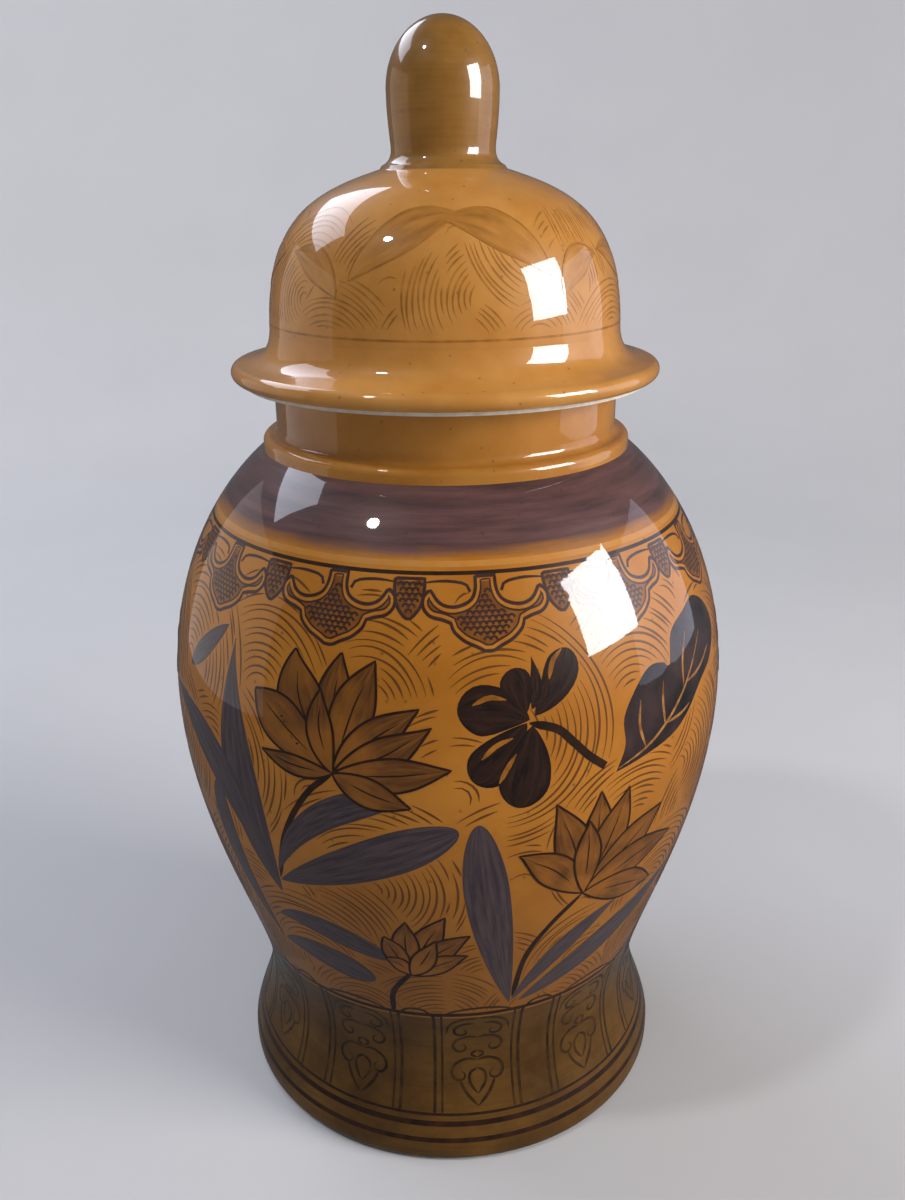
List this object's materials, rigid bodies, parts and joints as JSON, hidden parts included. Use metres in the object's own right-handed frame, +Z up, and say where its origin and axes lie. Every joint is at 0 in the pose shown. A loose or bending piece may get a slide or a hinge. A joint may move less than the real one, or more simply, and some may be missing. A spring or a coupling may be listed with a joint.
{
  "type": "lidded ginger jar",
  "caption": "Baluster stoneware jar on a flared foot, with a straight beaded neck and a loose domed lid with a wide brim and an acorn knob.",
  "frame": {"origin": "centre of the ring that the foot stands on, on the ground plane", "axes": "+Z up along the turning axis; +Y points away from the painted side that has the twin flower sprays"},
  "size_m": [0.199, 0.199, 0.38],
  "materials": {
    "belly_glaze": "glossy amber glaze over brown underglaze painting",
    "honey_glaze": "glossy honey glaze",
    "foot_glaze": "glossy olive brown glaze",
    "knob_glaze": "glossy olive brown glaze",
    "bare_clay": "unglazed fired clay"
  },
  "bodies": {
    "jar": {"jar_body": "belly_glaze", "neck_collar": "honey_glaze", "foot_base": "foot_glaze"},
    "lid": {"lid_brim": "honey_glaze", "lid_flange": "bare_clay", "lid_dome": "honey_glaze", "lid_knob": "knob_glaze"}
  },
  "joints": [
    {"name": "lid_lift", "type": "slide", "parent": "jar", "child": "lid", "axis": [0, 0, 1], "range_m": [0, 0.08]}
  ]
}
